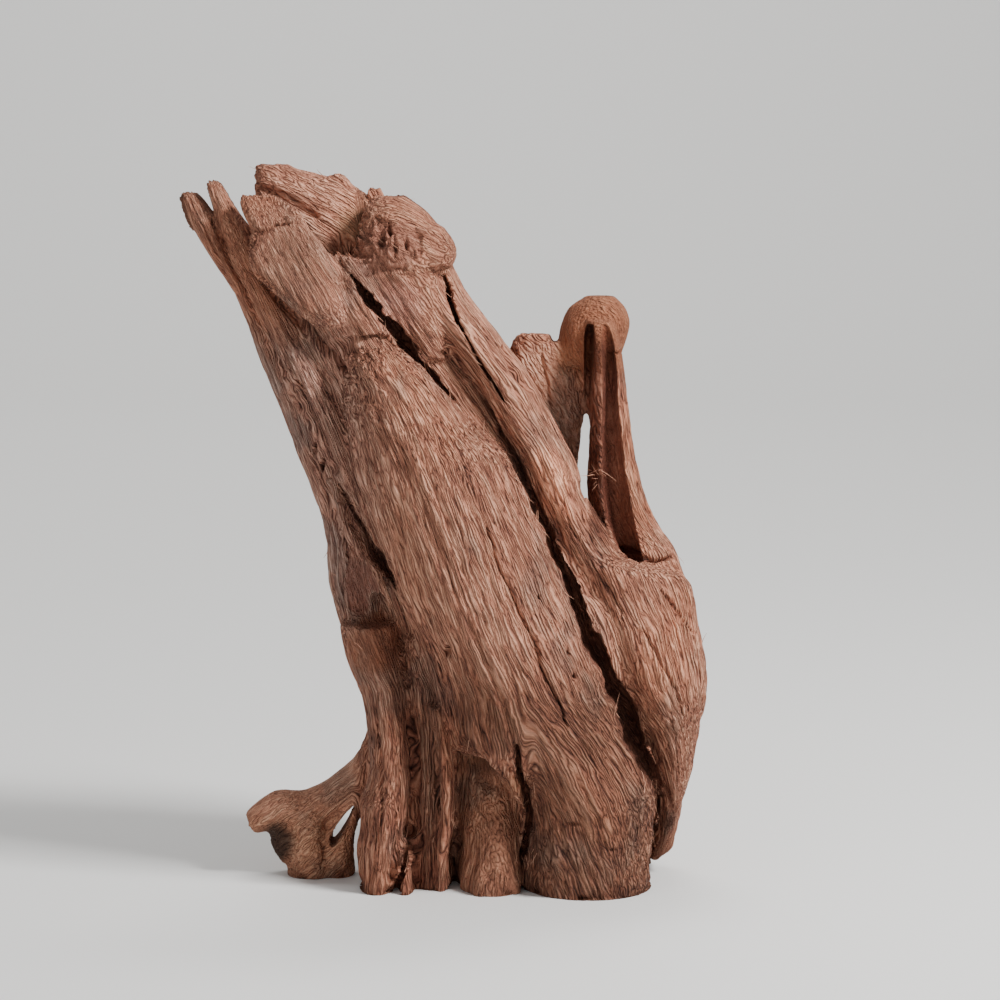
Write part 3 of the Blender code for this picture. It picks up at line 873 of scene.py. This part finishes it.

# The fine cracks, grooves and pits, on the faces that look forward, each darkened with painted shade.
GROOVE_MARGIN = 4
FAR_AWAY = 99.0
facing = ramp(-normals[:, 1], 0.05, 0.4)
gap = np.zeros(len(x))
pushed = np.zeros(len(x))
for points, half_width, depth, dark in GROOVES.values():
    line = np.array(points, float)
    left, bottom = line.min(axis=0) - GROOVE_MARGIN
    right, top = line.max(axis=0) + GROOVE_MARGIN
    near = np.flatnonzero((x > left) & (x < right) & (z > bottom) & (z < top))
    wobble = 0.6 * quick_sway(x[near] / 6, 0 * near, z[near] / 6)
    wobble = wobble + 0.4 * quick_sway(x[near] / 2, 0 * near, z[near] / 2)
    away = np.full(len(near), FAR_AWAY)
    for start, stop in zip(line, line[1:]):
        step = stop - start
        beside = x[near] + wobble - start[0]
        above = z[near] - start[1]
        share = np.clip((beside * step[0] + above * step[1]) / (step @ step), 0, 1)
        away = np.minimum(away, np.hypot(beside - share * step[0], above - share * step[1]))
    run = np.clip((z[near] - line[:, 1].min()) / np.ptp(line[:, 1]), 0, 1)
    taper = np.sqrt(np.clip(4 * run * (1 - run), 0, 1)) + 0.15
    cut_here = np.exp(-((away / (half_width * taper)) ** 2)) * facing[near]
    gap[near] = np.maximum(gap[near], cut_here * dark)
    pushed[near] = np.maximum(pushed[near], cut_here * depth)
for pit_x, pit_z, wide, tall, depth in PITS:
    near = np.flatnonzero((np.abs(x - pit_x) < 3 * wide) & (np.abs(z - pit_z) < 3 * tall))
    reach = ((x[near] - pit_x) / wide) ** 2 + ((z[near] - pit_z) / tall) ** 2 + 0.5 * lumps[near]
    hole = np.exp(-(np.maximum(reach, 0) ** 1.5)) * facing[near]
    gap[near] = np.maximum(gap[near], hole)
    pushed[near] = np.maximum(pushed[near], hole * depth)

# The whole skin moves by its relief at once. The flat underside stays as it is cut.
ABOVE_FLOOR = 0.02
move = normals * (height - pushed)[:, None] + grain_way * spikes[:, None]
under = ramp(-normals[:, 2], 0.6, 0.9) * ramp(z, 2, 0.5)
move *= (1 - under)[:, None]
move[:, 2] *= ramp(z, 0.1, 3)
places = places + move
places[:, 2] = np.maximum(places[:, 2], ABOVE_FLOOR)
wood.data.vertices.foreach_set("co", (places * MM).astype(np.float32).ravel())
wood.data.update()
normals = numbers(wood.data.vertices, "normal", 3)
# Painted shade: darker in the cracks, the grooves and pits, and between the burl's crumbs.
hollow_shade = np.clip(np.maximum(inner, gap) + 0.45 * crumble * ramp(crumbs, 0.55, 0.25), 0, 1)

# The stains: the wood has greyed where it is worn, and is dark and red where it was wet or shaded.
# Some stains paint shade or light instead, as said where they stand.
# Each stain is three factors on the red, green and blue of the bare wood.
tint = np.ones((len(x), 3))


def stain(share, red, green, blue):
    """Tints the wood by the three factors where the share is 1."""
    tint[:] = tint * (1 + share[:, None] * (np.array([red, green, blue]) - 1))


def spot(middle_x, middle_z, wide, tall):
    """A soft oval on the front, 1 in its middle."""
    away = np.hypot((x - middle_x) / wide, (z - middle_z) / tall) + 0.3 * slow
    return ramp(away, 1.1, 0.4) * ramp(y, 6, -2)


# The pale arm of the root, its legs, its scorched nub, the arch of the foot, and painted shade under the
# arch's lip.
stain(on_arm(x, z), 1.26, 1.42, 1.45)
stain(on_arm(x, z) * ramp(z, 22, 14), 0.94, 0.93, 0.88)
stain(spot(-68, 10.5, 5, 7.5), 0.16, 0.18, 0.2)
stain(spot(5, 34, 6, 5), 1.0, 0.96, 0.86)
stain(spot(-5, 38, 9, 4.5) * ramp(y, -28, -26), 0.55, 0.52, 0.5)
# The smooth hollows: the scoop on the left, the ones in the foot, and the spur's channel.
stain(scooped * ramp(z, 105, 95) * ramp(z, 60, 75), 0.75, 0.62, 0.6)
stain(scooped * ramp(z, 60, 45), 0.85, 0.8, 0.78)
stain(scooped * ramp(x, 20, 24), 0.75, 0.62, 0.6)
# Painted shade on the face between the slot and the spur's right rim.
channel_painted_shade = ramp(x, 26.2, 27.2) * ramp(x, 36, 33) * ramp(z, 167, 159) * ramp(z, 100, 108) * ramp(y, 6, 2)
stain(channel_painted_shade, 0.42, 0.34, 0.32)
# The bulge under the left scoop, the knob, the wing, and painted shade in the recessed dark strip beside
# the left column.
stain(bulge, 0.67, 0.55, 0.48)
stain(knob, 0.68, 0.6, 0.5)
stain(wing, 1.15, 1.35, 1.45)
stain(spot(-20.5, 38, 4.5, 30), 0.68, 0.74, 0.76)
# The crown: front plank, the dip beside the burl, rear wall, the flute's upper end and the neck.
stain(spot(-60, 187, 12, 17), 0.8, 0.86, 0.88)
stain(spot(-44, 197, 5, 6), 0.88, 1.02, 0.98)
stain(on_rear_wall(x, y, z), 1.22, 1.24, 1.28)
stain(ramp(across, -2, -22) * ramp(z, 60, 90) * ramp(z, 175, 160), 1.08, 1.16, 1.2)
stain(spot(-46, 168, 7, 16), 1.3, 1.35, 1.42)
stain(spot(-29.5, 174, 9, 10), 1.15, 1.16, 1.28)
# A painted highlight on the strip right of the main crack, painted shade on the walls of the cracks, then
# the spur, the toe and the hip.
past_crack = x - np.interp(z, LEVELS, FLOW_LINES[MAIN_CRACK])
stain(spot(15, 122, 7, 20) * ramp(past_crack, 3, 6), 1.52, 1.5, 1.44)
stain(ramp(inner, 0, 0.3), 0.95, 0.92, 0.92)
stain(ramp(x, 33, 36) * ramp(z, 165, 155) * ramp(z, 103, 112), 0.88, 0.82, 0.77)
stain(toe, 0.82, 0.85, 0.82)
stain(spot(49, 64, 10, 22), 1.12, 1.08, 1.04)
# The greyed left edge; painted shade on the foot of the flute, lifted again in one spot; and painted shade
# darker towards the bottom and along the floor line.
stain(ramp(x, -28, -50) * ramp(z, 178, 150) * ramp(z, 60, 90), 0.9, 0.98, 1.08)
flute_foot_shade = ramp(z, 80, 53) * ramp(x, -16, -10) * ramp(past_crack, 4, 0)
stain(flute_foot_shade * np.maximum(ramp(x, 6, 10), ramp(z, 40, 46)), 0.5, 0.47, 0.44)
stain(spot(30, 33, 12, 9), 1.25, 1.25, 1.25)
stain(ramp(z, 85, 40) * ramp(x, 6, 0), 0.86, 0.82, 0.8)
stain(ramp(z, 9, 0), 0.75, 0.72, 0.72)
stain(crumble, 0.86, 0.86, 0.9)
# Patches of grey and of warmer wood all over.
grey_patches = ramp(Hills(20)(x / 10, y / 10, z / 15) + 0.4 * Hills(22)(x / 4, y / 4, z / 5), 0.15, 0.8)
stain(grey_patches, 0.74, 0.83, 0.9)
warm_patches = ramp(Hills(21)(x / 14, y / 14, z / 22), 0.15, 0.8)
stain(warm_patches, 1.04, 0.98, 0.93)


def keep(mesh, name, values, kind="FLOAT", slot="value"):
    """Stores values on the points of the mesh under the name."""
    layer = mesh.attributes.new(name, kind, "POINT")
    layer.data.foreach_set(slot, np.ascontiguousarray(values, np.float32).ravel())


# The skin in six pieces, each with so many triangles. They meet along the cracks, across the main
# flute, under the crown and down the back, and where two meet they have the same points.
PIECES = {
    "flute_above": 190000,
    "right_strands": 185000,
    "left_strands": 150000,
    "crown": 165000,
    "back": 90000,
    "flute_below": 190000,
}
number = {name: order for order, name in enumerate(PIECES)}
flow = {name: np.interp(z, LEVELS, reached) for name, reached in FLOW_LINES.items()}
part = np.full(len(x), number["flute_above"])
part = np.where(z < 72 - 0.3 * x, number["flute_below"], part)
part = np.where(x > flow[MAIN_CRACK], number["right_strands"], part)
part = np.where(x < flow[FLUTE_LEFT], number["left_strands"], part)
part = np.where((z > 162 + (x + 35) * -0.12) & (x < flow[SPUR_FOOT] + 3), number["crown"], part)
part = np.where((y > 9) & (z < 170) & (x < flow[SPUR_FOOT] + 8), number["back"], part)
face_part = part[faces[:, 0]]
first_part = np.full(len(x), len(PIECES))
last_part = np.full(len(x), -1)
for corner in range(4):
    np.minimum.at(first_part, faces[:, corner], face_part)
    np.maximum.at(last_part, faces[:, corner], face_part)
seam = first_part != last_part
# The ridges of the relief, which the finish paints lighter: a painted highlight on the crests.
ridge = 0.25 * bundles + 0.4 * strings + 0.35 * fibres
ridge = ridge + (0.5 - ridge) * 0.8 * worn
SEAM_HOLD = 1000
skins = []
for index, (name, triangles) in enumerate(PIECES.items()):
    used, corners = np.unique(faces[face_part == index], return_inverse=True)
    mesh = bpy.data.meshes.new(name)
    mesh.vertices.add(len(used))
    mesh.vertices.foreach_set("co", (places[used] * MM).astype(np.float32).ravel())
    mesh.loops.add(corners.size)
    mesh.loops.foreach_set("vertex_index", corners.astype(np.int32).ravel())
    mesh.polygons.add(corners.size // 4)
    mesh.polygons.foreach_set("loop_start", np.arange(0, corners.size, 4, dtype=np.int32))
    mesh.update(calc_edges=True)
    keep(mesh, "ridge", ridge[used])
    keep(mesh, "hollow_shade", hollow_shade[used])
    keep(mesh, "worn", worn[used])
    keep(mesh, "tint", tint[used], "FLOAT_VECTOR", "vector")
    keep(mesh, "grain", np.stack([across, deep, along], axis=1)[used], "FLOAT_VECTOR", "vector")
    keep(mesh, "way_out", normals[used], "FLOAT_VECTOR", "vector")
    skin = placed(name, mesh)
    edge = skin.vertex_groups.new(name="edge")
    edge.add(np.flatnonzero(seam[used]).tolist(), 1.0, "REPLACE")
    fewer = skin.modifiers.new("fewer", "DECIMATE")
    fewer.ratio = min(1, triangles / (corners.size // 2))
    fewer.vertex_group = "edge"
    fewer.invert_vertex_group = True
    fewer.vertex_group_factor = SEAM_HOLD
    skin = baked(skin, name)
    skin.data.polygons.foreach_set("use_smooth", [True] * len(skin.data.polygons))
    skin.vertex_groups.clear()
    way_out = numbers(skin.data.attributes["way_out"].data, "vector", 3)
    skin.data.normals_split_custom_set_from_vertices(way_out)
    skin.data.attributes.remove(skin.data.attributes["way_out"])
    skins.append(skin)
bpy.data.objects.remove(wood)

# Loose fibres and splinters of the same wood, still rooted in the skin. Most stand off the lips of
# the cracks, the torn ends and the burl, and a small tuft hangs across the gap beside the spur.
# Each is a thin curved spindle with four sides, and its width tapers to the last of the sizes.
LOOSE_FIBRES = 480
TUFT_FIBRES = 14
TUFT_THICKNESS = 0.08
FIBRE_SEED = 8
ROOT_DEPTH = 0.3
SPINDLE_SIZES = (1, 0.95, 0.85, 0.65, 0.3)
SPINDLE_SIDES = 4
SPINDLE_FLATNESS = 1.4
draw = np.random.default_rng(FIBRE_SEED)
lip = walls_of(CRACKS, margin=1.8)
chance = 0.03 + lip * (1 - inner) + 0.25 * burl + 0.5 * torn
chance = chance * ramp(-normals[:, 1], -0.2, 0.3) * (z > 6)
chance = chance / chance.sum()
roots = draw.choice(len(x), LOOSE_FIBRES, replace=False, p=chance)
tuft = np.flatnonzero((np.abs(x - 28.5) < 1.8) & (np.abs(z - 122) < 2.5) & (y < 2))
roots = np.concatenate([roots, draw.choice(tuft, min(len(tuft), TUFT_FIBRES), replace=False)])
last_step = len(SPINDLE_SIZES) - 1
cells = []
for step in range(last_step):
    low = SPINDLE_SIDES * step
    high = low + SPINDLE_SIDES
    for corner in range(SPINDLE_SIDES):
        after = (corner + 1) % SPINDLE_SIDES
        cells.append((low + corner, low + after, high + after, high + corner))
cells.append(tuple(range(SPINDLE_SIDES))[::-1])
cells.append(tuple(range(SPINDLE_SIDES * last_step, SPINDLE_SIDES * (last_step + 1))))
splinters = []
for order, root in enumerate(roots):
    length = draw.uniform(1.2, 4.5)
    thick = draw.uniform(0.05, 0.13)
    with_grain = grain_way[root] * draw.choice([-1, 1])
    off_skin = 0.35 * normals[root] * draw.uniform(0.3, 1.2)
    way = with_grain + off_skin + draw.normal(0, 0.12, 3)
    if order >= LOOSE_FIBRES:
        length = draw.uniform(2, 5.5)
        thick = TUFT_THICKNESS
        way = np.array([-1, -0.4, 0]) * draw.choice([-0.7, 1]) + draw.normal(0, 0.5, 3)
    way /= np.linalg.norm(way)
    curl = normals[root] * draw.uniform(-0.12, 0.1) + draw.normal(0, 0.06, 3)
    start = places[root] - normals[root] * ROOT_DEPTH
    side = np.cross(way, normals[root])
    side /= np.linalg.norm(side)
    up = np.cross(side, way)
    rings = []
    for step, size in enumerate(SPINDLE_SIZES):
        middle = start + way * length * step / last_step + curl * length * (step / last_step) ** 2 * 2
        for corner in range(SPINDLE_SIDES):
            turn = corner * math.tau / SPINDLE_SIDES
            out = side * math.cos(turn) * SPINDLE_FLATNESS + up * math.sin(turn)
            rings.append(middle + thick * size * out)
    splinters.append((np.array(rings) * MM, cells))
loose = one_mesh("loose_fibres", splinters)

# The finish: bare dry wood with nothing on it, pale on the worn ridges and dark in the gaps between
# the fibres; part of that is painted highlight on the crests and painted shade in the gaps and hollows.
# Its fibres lie along the stored grain, and the stored tint stains it.
PALE_HIGHLIGHT = (0.66, 0.33, 0.215, 1)
LIGHT = (0.47, 0.195, 0.119, 1)
BROWN = (0.27, 0.1, 0.062, 1)
DARK = (0.1, 0.034, 0.022, 1)
CREVICE_SHADE = (0.03, 0.01, 0.007, 1)
SPLINTER = (0.5, 0.25, 0.16, 1)
DULL = 0.8
FAINT_SHINE = 0.25
FIBRE_DEPTH = 0.0026
FIBRE_CONTRAST = 3.6
SWAY_SCALE = (0.3, 0.3, 0.22)


class Socket:
    """A shader value that takes the usual operators."""

    def __init__(self, tree, output):
        self.tree = tree
        self.output = output

    def math(self, operation, first, second):
        """A Math node on two values."""
        node = self.tree.nodes.new("ShaderNodeMath")
        node.operation = operation
        for slot, value in enumerate((first, second)):
            if isinstance(value, Socket):
                self.tree.links.new(value.output, node.inputs[slot])
            else:
                node.inputs[slot].default_value = value
        return Socket(self.tree, node.outputs[0])

    def __add__(self, other):
        return self.math("ADD", self, other)

    __radd__ = __add__

    def __sub__(self, other):
        return self.math("SUBTRACT", self, other)

    def __rsub__(self, other):
        return self.math("SUBTRACT", other, self)

    def __mul__(self, other):
        return self.math("MULTIPLY", self, other)

    __rmul__ = __mul__

    def __pow__(self, other):
        return self.math("POWER", self, other)


class Recipe:
    """A material's nodes."""

    def __init__(self, name):
        self.material = bpy.data.materials.new(name)
        self.material.use_nodes = True
        self.tree = self.material.node_tree
        self.shader = self.tree.nodes["Principled BSDF"]

    def node(self, kind, settings=None, values=None, output=0, stops=None):
        """Any other node: its type, settings, values or links, the output to use, and ramp stops."""
        node = self.tree.nodes.new(kind)
        for name, value in (settings or {}).items():
            setattr(node, name, value)
        if stops:
            ramp_points = node.color_ramp.elements
            while len(ramp_points) < len(stops):
                ramp_points.new(0.5)
            for point, (place, colour) in zip(ramp_points, stops):
                point.position = place
                point.color = colour
        for name, value in (values or {}).items():
            self.put(node.inputs[name], value)
        return Socket(self.tree, node.outputs[output])

    def put(self, socket, value):
        """Links a shader value to the socket, or sets a plain one."""
        if isinstance(value, Socket):
            self.tree.links.new(value.output, socket)
        else:
            socket.default_value = value


def driftwood_finish():
    """Bare weathered wood, with painted highlights on its crests and painted shade in its gaps and hollows.
    """
    recipe = Recipe("driftwood")

    def stored(name, output):
        return recipe.node("ShaderNodeAttribute", {"attribute_name": name}, output=output)

    ridge = stored("ridge", "Fac")
    hollow_shade = stored("hollow_shade", "Fac")
    worn = stored("worn", "Fac")
    tint = stored("tint", "Vector")
    grain = stored("grain", "Vector")

    def vectors(operation, first, second):
        return recipe.node("ShaderNodeVectorMath", {"operation": operation}, {0: first, 1: second})

    def noise(place, detail, output="Fac"):
        values = {"Vector": place, "Scale": 1.0, "Detail": detail}
        return recipe.node("ShaderNodeTexNoise", {}, values, output)

    def streaks(across, along, detail):
        return noise(vectors("MULTIPLY", grain, (across, across, along)), detail)

    def fibre(across, along, curl):
        place = vectors("MULTIPLY", grain, (across, across, along))
        swing = noise(vectors("MULTIPLY", grain, SWAY_SCALE), 1.0, "Color")
        hill = noise(vectors("ADD", place, vectors("MULTIPLY", swing, (curl, curl, 0))), 0.0)
        stretched = (hill - 0.5) * FIBRE_CONTRAST
        return recipe.node("ShaderNodeMath", {"operation": "ABSOLUTE"}, {0: stretched}) ** RIDGE_ROUNDNESS

    bundle = fibre(across=0.26, along=0.02, curl=0.5)
    thick_fibre = fibre(across=0.62, along=0.05, curl=0.7)
    thin_fibre = fibre(across=1.25, along=0.1, curl=0.9)
    speckle = streaks(across=2.6, along=0.8, detail=2.0)
    patch = streaks(across=0.1, along=0.03, detail=3.0)
    open_grain = bundle * 0.2 + thick_fibre * 0.4 + thin_fibre * 0.58
    skin = open_grain * (1 - worn * 0.7) + worn * 0.34 + speckle * (worn * 0.28 + 0.3)
    # The tone paints the ridges and crests lighter, a painted highlight, and the hollows darker, painted
    # shade.
    tone = ridge * 0.4 + skin * 0.84 + patch * 0.36 - 0.41 - hollow_shade * 0.2
    colour = recipe.node(
        "ShaderNodeValToRGB",
        {},
        {"Fac": tone},
        stops=[(0.0, CREVICE_SHADE), (0.18, DARK), (0.36, BROWN), (0.62, LIGHT), (0.92, PALE_HIGHLIGHT)],
    )
    recipe.put(recipe.shader.inputs["Base Color"], vectors("MULTIPLY", colour, tint))
    recipe.shader.inputs["Roughness"].default_value = DULL
    recipe.shader.inputs["Specular IOR Level"].default_value = FAINT_SHINE
    bump = recipe.node("ShaderNodeBump", {}, {"Height": skin, "Strength": 1.0, "Distance": FIBRE_DEPTH})
    recipe.put(recipe.shader.inputs["Normal"], bump)
    return recipe.material


def plain_finish(name, colour, roughness):
    """One even colour all over."""
    recipe = Recipe(name)
    recipe.shader.inputs["Base Color"].default_value = colour
    recipe.shader.inputs["Roughness"].default_value = roughness
    return recipe.material


finish = driftwood_finish()
for skin in skins:
    skin.data.materials.append(finish)
loose.data.materials.append(plain_finish("loose_fibre", SPLINTER, DULL))
for piece in skins + [loose]:
    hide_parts("driftwood")
    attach(piece, "root")

# The floor: one plain pale sheet that sweeps up behind the wood, as in a studio. It isn't part of
# the piece. Its sizes are in metres.
FLOOR_WIDTH = 12.0
FLOOR_FRONT = -4.0
FLOOR_BACK = 1.6
SWEEP = 1.2
SWEEP_STEPS = 25
WALL_TOP = 5.0
OFF_WHITE = (0.8, 0.79, 0.77, 1)
MATT = 0.7
profile = [(FLOOR_FRONT, 0.0), (FLOOR_BACK, 0.0)]
profile += [
    (FLOOR_BACK + SWEEP * math.sin(turn), SWEEP - SWEEP * math.cos(turn))
    for turn in np.linspace(0, math.pi / 2, SWEEP_STEPS)[1:]
]
profile.append((FLOOR_BACK + SWEEP, WALL_TOP))
points = [(side * FLOOR_WIDTH / 2, back, up) for back, up in profile for side in (-1, 1)]
strips = [(2 * row, 2 * row + 1, 2 * row + 3, 2 * row + 2) for row in range(len(profile) - 1)]
floor = one_mesh("floor", [(points, strips)])
floor.data.polygons.foreach_set("use_smooth", [True] * len(strips))
floor.data.materials.append(plain_finish("plain_floor", OFF_WHITE, MATT))
floor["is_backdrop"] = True

# The camera stands in front of the wood and looks a little down on it.
AIM = Vector((0, 0, 0.1145))
DISTANCE = 0.9
PITCH = math.radians(7)
LENS = 108
SENSOR = 36
NEAREST_SEEN = 0.01
camera = placed("camera", bpy.data.cameras.new("camera"))
camera.data.lens = LENS
camera.data.sensor_width = SENSOR
camera.data.clip_start = NEAREST_SEEN
camera.location = AIM + DISTANCE * Vector((0, -math.cos(PITCH), math.sin(PITCH)))
camera.rotation_euler = (math.pi / 2 - PITCH, 0, 0)
bpy.context.scene.camera = camera

# The light: a soft box high on the right, a weak one low on the left, one on the sheet behind, and
# a pale grey room.
ROOM = (0.86, 0.87, 0.88, 1)
ROOM_STRENGTH = 0.4


def soft_light(name, place, size, power, aim=AIM):
    """A square soft box that faces the piece, or the place it is aimed at."""
    lamp = bpy.data.lights.new(name, "AREA")
    lamp.size = size
    lamp.energy = power
    box = placed(name, lamp)
    box.location = place
    box.rotation_euler = (Vector(aim) - Vector(place)).to_track_quat("-Z", "Y").to_euler()


soft_light("key", (0.6, -0.32, 0.74), size=0.22, power=14.4)
soft_light("fill", (-0.9, -0.9, 0.5), size=0.8, power=2.5)
soft_light("backdrop", (0, 0.9, 2.2), size=1.0, power=40, aim=(0, 2.6, 0.5))
world = bpy.data.worlds.new("studio")
bpy.context.scene.world = world
world.use_nodes = True
background = world.node_tree.nodes["Background"]
background.inputs["Color"].default_value = ROOM
background.inputs["Strength"].default_value = ROOM_STRENGTH

low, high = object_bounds()
